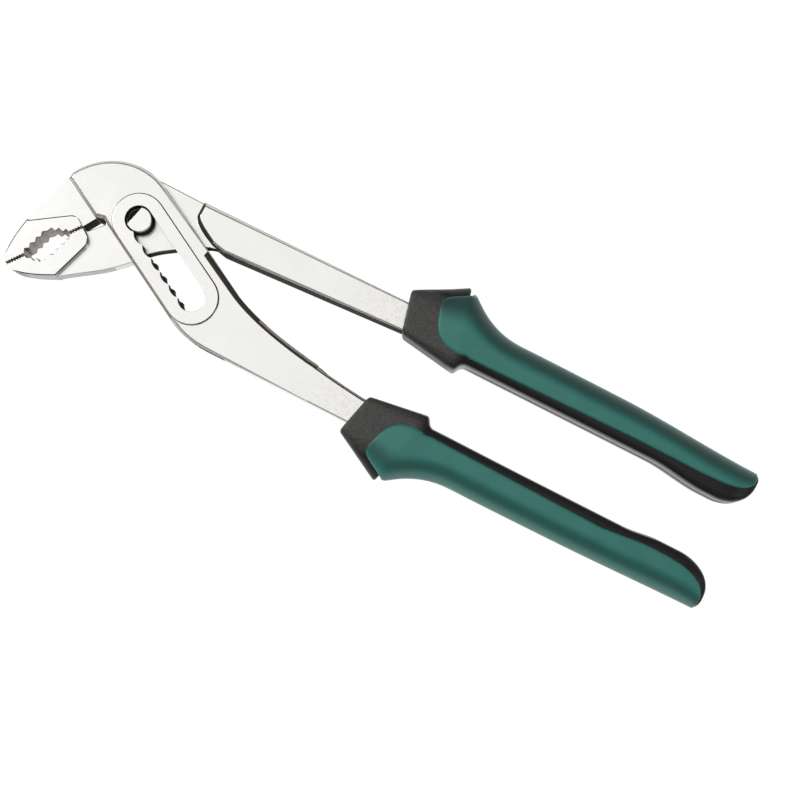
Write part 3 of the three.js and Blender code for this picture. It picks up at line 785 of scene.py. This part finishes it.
def face_zone(face, node):
    """Which finish a steel face has: painted shade on walls and faces in the slot, recesses, gaps and inner
    sides, painted pale light on the outer slope of the boss, painted shade under the lower jaw
    """
    middle = face.calc_center_median()
    place = (middle - PIN) / MM
    wall = abs(face.normal.z) < WALL_SLOPE
    if node == "pivot_pin":
        # Painted shade on the pin's wall and its recessed top
        return PAINTED_SHADE if wall or abs(place.z) < PIN_TOP else PLATED
    slotted = node == "slotted_arm"
    sloping = SLOPE_LEAST < abs(face.normal.z) < SLOPE_MOST
    if slotted and sloping and on_boss_slope(place):
        # Painted pale light on the outer side of the boss slope, painted shade on the other side
        return PAINTED_LIGHT if face.normal.dot(ACROSS) < -OUTER_TURN else PAINTED_SHADE
    on_shoulder = SHOULDER_FROM < place.x < SHOULDER_TO and place.y > SHOULDER_SIDE
    if not slotted and sloping and on_shoulder:
        # Painted shade on the sloping shoulder
        return PAINTED_SHADE
    if not wall:
        # Painted shade on faces turned inward between the cheeks
        return PAINTED_SHADE if slotted and face.normal.z * place.z < 0 else PLATED
    if in_tooth_zone(middle):
        return TEETH
    if in_tooth_zone(middle, HEEL_BACK):
        # Painted shade on the walls behind the teeth
        return PAINTED_SHADE
    inward = (face.normal.y if slotted else -face.normal.y) > INWARD
    if not slotted and inward and place.x < 0:
        # Painted shade on walls under the lower jaw
        return SHADED_UNDERSIDE
    on_inner_side = inward and place.x > INNER_FROM
    # Painted shade on walls in the slot and on the inner sides
    return PAINTED_SHADE if in_slot(place) or on_inner_side else PLATED


def on_outer_side(face, node):
    """True for a round that turns to the outer side of an arm, or to the jaws on the slotted arm"""
    place = (face.calc_center_median() - PIN) / MM
    if in_slot(place):
        return False
    if node == "slotted_arm":
        return face.normal.y < -OUTER_TURN or face.normal.dot(SLOT) < -OUTER_TURN
    return node == "through_arm" and face.normal.y > OUTER_TURN


def forged_bmesh(node, edge_round, fine_round):
    """A steel piece with its finishes on the faces and rounds on the edges; rounds round the pads get
    painted shade, the round along the lower handle's inner edge painted shade and painted pale light, outer
    rounds painted pale light
    """
    bm = forged_copy(node)
    for face in bm.faces:
        face.material_index = face_zone(face, node)
    # Painted shade on the rounds round the pads
    for face in round_edges(bm, pad_edges(bm), PAD_EDGE[node] * MM, PAD_SEGMENTS):
        face.material_index = PAINTED_SHADE
    if node == "slotted_arm":
        for face in round_edges(bm, handle_edges(bm), ELBOW_EDGE * MM, ELBOW_SEGMENTS):
            # Past the elbow the steeper faces of the round get painted pale light, the rest painted shade
            past_elbow = face.calc_center_median().x > PIN.x + PALE_FROM * MM
            face.material_index = PAINTED_LIGHT if past_elbow and abs(face.normal.z) < ELBOW_LINE else PAINTED_SHADE
    rounds = ((edge_round, EDGE_ROOM, EDGE_SEGMENTS), (fine_round, FINE_ROOM, FINE_SEGMENTS))
    for size, room, segments in rounds:
        for face in round_edges(bm, roomy_edges(bm, EDGE_ANGLE, room * size), size, segments):
            # Outer rounds get painted pale light
            if face.material_index == PLATED and on_outer_side(face, node):
                face.material_index = PAINTED_LIGHT
    shade_smooth(bm)
    return bm


def face_outward(bm):
    """Turn the faces of an open shell away from the middle plane"""
    outward = sum(f.normal.z * (f.calc_center_median().z - PIN.z) * f.calc_area() for f in bm.faces)
    if outward < 0:
        bmesh.ops.reverse_faces(bm, faces=bm.faces)


def shade_smooth(bm, angle=None):
    """Smooth faces, with edges sharper than an angle kept"""
    for face in bm.faces:
        face.smooth = True
    if angle is not None:
        for edge in bm.edges:
            edge.smooth = len(edge.link_faces) == 2 and edge.calc_face_angle() < math.radians(angle)


def core_rows():
    """Rows of a core from front to end: each one's place along the grip and how far its ring is drawn in"""
    lip_end = COLLAR_LENGTH + LIP_OUTER_RUN
    end = GRIP_LENGTH - CORE_END
    turns = np.linspace(0, EDGE_TURN, EDGE_ROWS)
    rows = [(COLLAR_EDGE * (1 - math.cos(a)), COLLAR_EDGE * (1 - math.sin(a))) for a in turns]
    rows += [(a, 0.0) for a in np.linspace(COLLAR_FIRST, COLLAR_LENGTH - COLLAR_LAST, COLLAR_ROWS)]
    rows += [(COLLAR_LENGTH + LIP_OUTER_RUN * s ** LIP_CROWDING, 0.0) for s in np.linspace(0, 1, LIP_ROWS)]
    rows += [(a, 0.0) for a in np.linspace(lip_end + HANDLE_FIRST, end, HANDLE_ROWS)]
    rows += [(end + CORE_END * math.sin(a), 0.0) for a in np.linspace(END_FIRST, math.pi / 2, END_ROWS)]
    rows += [(GRIP_LENGTH, shrink) for shrink in END_SHRINK]
    return rows


def core_bmesh(shape, bead):
    """A core, drawn out ring by ring, sunk under the cover and closed at both ends"""
    bm = bmesh.new()
    turn = bm.verts.layers.float.new("share")
    ring = bmesh.ops.create_circle(bm, segments=RING_POINTS, radius=1)["verts"]
    for i, vert in enumerate(ring):
        vert[turn] = 1 - 2 * (i + 0.5) / RING_POINTS
    edges = list(bm.edges)
    for row, (along, shrink) in enumerate(core_rows()):
        if row:
            made = bmesh.ops.extrude_edge_only(bm, edges=edges)["geom"]
            ring = [g for g in made if isinstance(g, bmesh.types.BMVert)]
            edges = [g for g in made if isinstance(g, bmesh.types.BMEdge)]
            edges = [e for e in edges if all(v in ring for v in e.verts)]
        seam = bead * smoothstep(along, COLLAR_LENGTH, 2 * LIP_INNER_RUN)
        sink = FLANGE_DROP * smoothstep(along, COLLAR_LENGTH - FLANGE_SETBACK, FLANGE_RUN)
        sink *= 1 - smoothstep(along, GRIP_LENGTH - CORE_END, CORE_END / 2)
        middle = grip_section(along, shape).middle
        for vert in ring:
            point = grip_point(along, vert[turn], shape, shrink, seam)
            if point.y > middle:
                point.y -= sink * smoothstep(point.y, middle, SINK_RUN)
            vert.co = place_grip(point, shape.side)
    bmesh.ops.holes_fill(bm, edges=[e for e in bm.edges if e.is_boundary], sides=0)
    bmesh.ops.recalc_face_normals(bm, faces=bm.faces)
    shade_smooth(bm, CORE_ANGLE)
    return bm


def cover_cuts():
    """Planes that cut a flat cover into small faces, each as a point and a direction"""
    ends = [start for start, _ in COVER_CUTS[1:]] + [GRIP_LENGTH]
    alongs = np.concatenate([np.arange(start, end, step) for (start, step), end in zip(COVER_CUTS, ends)])
    cuts = [((float(a), 0, 0), (1, 0, 0)) for a in alongs]
    cuts += [((0, float(q), 0), (0, 1, 0)) for q in np.linspace(-HALF_GIRTH, HALF_GIRTH, GIRTH_CUTS)]
    return cuts


def flat_cover(shape, edge_round):
    """A cover laid flat, along by girth, with steps round its edge and the depth of each in a layer"""
    front = [grip_coordinates(x, out, shape) for x, out in cover_outline(shape)]
    front = [(along, share * HALF_GIRTH) for along, share in front]
    back = [(along, -q) for along, q in reversed(front)]
    outline = [*front, (GRIP_LENGTH - SLEEVE_TIP, 0.0), *back]
    bm = bmesh.new()
    for layer in COVER_LAYERS:
        bm.verts.layers.float.new(layer)
    depth = bm.verts.layers.float["depth"]
    face = bm.faces.new([bm.verts.new((along, q, 0)) for along, q in outline])
    last = 1.0
    for inset, drop in COVER_EDGE:
        made = bmesh.ops.inset_region(
            bm, faces=[face], thickness=inset * edge_round, use_even_offset=True, use_boundary=True
        )
        for vert in {v for f in made["faces"] for v in f.verts}:
            vert[depth] = last * edge_round
        face = next(f for f in bm.faces if len(f.verts) == len(outline))
        for vert in face.verts:
            vert[depth] = drop * edge_round
        last = drop
    for place, direction in cover_cuts():
        geometry = [*bm.verts, *bm.edges, *bm.faces]
        bmesh.ops.bisect_plane(bm, geom=geometry, plane_co=place, plane_no=direction)
    return bm


def grip_normal(along, share, shape):
    """Outward direction of a grip's surface, from points close by"""
    point = grip_point(along, share, shape)
    ahead = grip_point(along + NEAR_ALONG, share, shape) - grip_point(along - NEAR_ALONG, share, shape)
    beside = grip_point(along, share + NEAR_SHARE, shape) - grip_point(along, share - NEAR_SHARE, shape)
    normal = ahead.cross(beside).normalized()
    if normal.y * (point.y - grip_section(along, shape).middle) + normal.z * point.z < 0:
        normal.negate()
    return normal


def cover_bmesh(shape, proud, edge_round):
    """A cover wrapped round its grip, with its painted shade on the slope and painted highlight on the rim
    in layers
    """
    bm = flat_cover(shape, edge_round)
    depth, slope, rim = (bm.verts.layers.float[layer] for layer in COVER_LAYERS)
    for vert in bm.verts:
        along, share = vert.co.x, vert.co.y / HALF_GIRTH
        point = grip_point(along, share, shape)
        inner, outer, _ = grip_size(along, shape)
        out_share = (point.y - inner) / (outer - inner)
        # Painted shade on the outer slope of the cover
        shaded = smoothstep(out_share, shape.shade_from, shape.shade_run)
        past_slope = smoothstep(out_share, shape.shade_to, SHADE_FADE)
        vert[slope] = shape.shade * shaded * (1 - past_slope)
        # Painted highlight along the outer rim of the cover
        vert[rim] = shape.rim * smoothstep(out_share, RIM_FROM, RIM_RUN)
        lift = grip_normal(along, share, shape) * (proud - vert[depth])
        vert.co = place_grip(point + lift, shape.side)
    bmesh.ops.recalc_face_normals(bm, faces=bm.faces)
    face_outward(bm)
    shade_smooth(bm)
    return bm


class PLIERS_OT_steel_arms(bpy.types.Operator):
    """Make the two forged arms and the pivot pin"""

    bl_idname = "pliers.steel_arms"
    bl_label = "Steel arms and pin"

    def execute(self, context):
        steel = context.scene.pliers_steel
        plated = steel_material("satin_steel", tuple(steel.colour), steel.roughness)
        bare = tooth_material("tooth_steel", tuple(steel.tooth_colour))
        # Painted shade for walls, recesses and inner edges
        dark = painted_shade_material("painted_shade_steel", tuple(steel.painted_shade_colour))
        # Painted pale light for outer rounds
        pale = painted_light_material("painted_light_edge", tuple(steel.painted_light_colour))
        # Painted shade under the lower jaw
        side = steel_material("painted_shade_jaw_side", tuple(steel.jaw_side_shade_colour), SIDE_ROUGHER * steel.roughness)
        for node, body in STEEL_BODIES:
            bm = forged_bmesh(node, steel.edge_round, steel.fine_round)
            normals = weighted_normals(bm, SMOOTH_ANGLE)
            piece = link_piece(f"{node}_forged", bm, plated, body, "satin_steel", node)
            piece.data.normals_split_custom_set(normals)
            for finish in (bare, dark, pale, side):
                piece.data.materials.append(finish)
        return {"FINISHED"}


class PLIERS_OT_grip_cores(bpy.types.Operator):
    """Make the hard black cores with their collars"""

    bl_idname = "pliers.grip_cores"
    bl_label = "Grip cores"

    def execute(self, context):
        grips = context.scene.pliers_grips
        black = core_material("black_core", tuple(grips.core_colour))
        for shape in (LOWER, UPPER):
            bm = core_bmesh(shape, grips.bead / MM)
            node = f"{shape.name}_grip_core"
            link_piece(f"{node}_moulded", bm, black, shape.body, "black_plastic", node)
        return {"FINISHED"}


class PLIERS_OT_grip_covers(bpy.types.Operator):
    """Make the soft green covers"""

    bl_idname = "pliers.grip_covers"
    bl_label = "Grip covers"

    def execute(self, context):
        grips = context.scene.pliers_grips
        green = cover_material("green_cover", tuple(grips.cover_colour))
        for shape in (LOWER, UPPER):
            bm = cover_bmesh(shape, grips.cover_proud / MM, grips.cover_round / MM)
            node = f"{shape.name}_grip_sleeve"
            piece = link_piece(f"{shape.name}_grip_cover", bm, green, shape.body, "green_cover", node)
            wall = piece.modifiers.new("wall", "SOLIDIFY")
            wall.thickness = grips.cover_wall
            wall.offset = -1
        return {"FINISHED"}


def make_floor(stage):
    """A pale floor that looks white to the camera and in reflections"""
    bm = bmesh.new()
    bmesh.ops.create_grid(bm, x_segments=1, y_segments=1, size=stage.floor_size / 2)
    mesh = bpy.data.meshes.new("floor")
    bm.to_mesh(mesh)
    bm.free()
    floor = bpy.data.objects.new("floor", mesh)
    bpy.context.scene.collection.objects.link(floor)
    maker = NodeMaker("floor")
    maker.to_shader(Base_Color=(*stage.floor_colour, 1), Roughness=FLOOR_ROUGHNESS)
    ray = maker.add("ShaderNodeLightPath").outputs
    white = maker.add("ShaderNodeEmission", {"Color": (1, 1, 1, 1), "Strength": FLOOR_GLOW})
    seen = maker.math("MAXIMUM", ray["Is Camera Ray"], ray["Is Glossy Ray"])
    seen = maker.math("MAXIMUM", seen, ray["Is Transmission Ray"])
    share = maker.math("MULTIPLY", seen, GLOW_SHARE)
    both = maker.add("ShaderNodeMixShader", {0: share, 1: maker.shader.outputs[0], 2: white.outputs[0]})
    output = maker.tree.nodes["Material Output"]
    maker.tree.links.new(both.outputs[0], output.inputs["Surface"])
    mesh.materials.append(maker.material)


def square_lamp(name, power, size, place, turn=(0, 0, 0)):
    data = bpy.data.lights.new(name, "AREA")
    data.energy = power
    data.size = size
    lamp = bpy.data.objects.new(name, data)
    lamp.location = place
    lamp.rotation_euler = turn
    bpy.context.scene.collection.objects.link(lamp)


def make_lamps(stage):
    """A soft lamp overhead and two side lamps along the handles"""
    square_lamp("softbox", stage.lamp_power, stage.lamp_size, (LAMP_SHIFT, 0, stage.lamp_height))
    lean = Vector((math.sin(KEY_TILT), 0, math.cos(KEY_TILT)))
    for name, turn, share in SIDE_LAMPS:
        aim = Matrix.Rotation(math.radians(turn), 3, "Z") @ lean
        facing = aim.to_track_quat("Z", "Y").to_euler()
        square_lamp(name, stage.key_power * share, KEY_SIZE, aim * KEY_DISTANCE, facing)


def make_world(stage):
    """Light from all round, with pale walls in reflections and a white backdrop for the camera"""
    world = bpy.data.worlds.new("studio")
    world.use_nodes = True
    bpy.context.scene.world = world
    nodes, links = world.node_tree.nodes, world.node_tree.links
    background = nodes["Background"]
    background.inputs["Color"].default_value = (1, 1, 1, 1)
    axes = nodes.new("ShaderNodeSeparateXYZ")
    links.new(nodes.new("ShaderNodeTexCoord").outputs["Generated"], axes.inputs[0])
    walls = nodes.new("ShaderNodeMapRange")
    links.new(axes.outputs["Z"], walls.inputs["Value"])
    walls.inputs["From Min"].default_value = WALLS_END
    walls.inputs["From Max"].default_value = WALLS_FULL
    walls.inputs["To Max"].default_value = stage.world_mirrored
    ray = nodes.new("ShaderNodeLightPath").outputs
    level = nodes.new("ShaderNodeMath")
    level.operation = "MULTIPLY_ADD"
    links.new(ray["Is Glossy Ray"], level.inputs[0])
    links.new(walls.outputs["Result"], level.inputs[1])
    level.inputs[2].default_value = stage.world_strength
    backdrop = nodes.new("ShaderNodeMath")
    backdrop.operation = "ADD"
    links.new(level.outputs[0], backdrop.inputs[0])
    links.new(ray["Is Camera Ray"], backdrop.inputs[1])
    links.new(backdrop.outputs[0], background.inputs["Strength"])


def make_camera():
    """The camera of the main view"""
    scene = bpy.context.scene
    data = bpy.data.cameras.new("camera")
    camera = bpy.data.objects.new("camera", data)
    scene.collection.objects.link(camera)
    data.angle = 2 * math.atan(PICTURE / 2 / (PIXELS_PER_METRE * CAMERA_DISTANCE))
    data.clip_start = CLIP_START
    data.clip_end = CLIP_END
    right = Vector((math.cos(CAMERA_ROLL), math.sin(CAMERA_ROLL), 0))
    back = Matrix.Rotation(CAMERA_LEAN, 3, right) @ Vector((0, 0, 1))
    up = back.cross(right)
    spot = PIN + TARGET + back * CAMERA_DISTANCE
    camera.matrix_world = Matrix.Translation(spot) @ Matrix((right, up, back)).transposed().to_4x4()
    scene.camera = camera
    scene.view_settings.view_transform = "Standard"


class PLIERS_OT_stage(bpy.types.Operator):
    """Make the floor, the lamps, the world and the camera"""

    bl_idname = "pliers.stage"
    bl_label = "Stage"

    def execute(self, context):
        stage = context.scene.pliers_stage
        make_floor(stage)
        make_lamps(stage)
        make_world(stage)
        make_camera()
        return {"FINISHED"}


class PLIERS_PT_panel(bpy.types.Panel):
    """Lists the pieces of the pliers"""

    bl_idname = "PLIERS_PT_panel"
    bl_label = "Water pump pliers"
    bl_space_type = "VIEW_3D"
    bl_region_type = "UI"
    bl_category = "Pliers"

    def draw(self, context):
        for group in (context.scene.pliers_steel, context.scene.pliers_grips, context.scene.pliers_stage):
            box = self.layout.box()
            for key in group.bl_rna.properties.keys():
                if key not in ("rna_type", "name"):
                    box.prop(group, key)
        for operator in OPERATORS:
            self.layout.operator(operator.bl_idname)


OPERATORS = (PLIERS_OT_stage, PLIERS_OT_steel_arms, PLIERS_OT_grip_cores, PLIERS_OT_grip_covers)
CLASSES = (SteelProperties, GripProperties, StageProperties, *OPERATORS, PLIERS_PT_panel)


def register():
    for cls in CLASSES:
        bpy.utils.register_class(cls)
    bpy.types.Scene.pliers_steel = PointerProperty(type=SteelProperties)
    bpy.types.Scene.pliers_grips = PointerProperty(type=GripProperties)
    bpy.types.Scene.pliers_stage = PointerProperty(type=StageProperties)


def unregister():
    for key in ("pliers_steel", "pliers_grips", "pliers_stage"):
        delattr(bpy.types.Scene, key)
    for cls in reversed(CLASSES):
        bpy.utils.unregister_class(cls)


def main():
    register()
    bpy.ops.pliers.stage()
    bpy.ops.pliers.steel_arms()
    bpy.ops.pliers.grip_cores()
    bpy.ops.pliers.grip_covers()


if __name__ == "__main__":
    main()
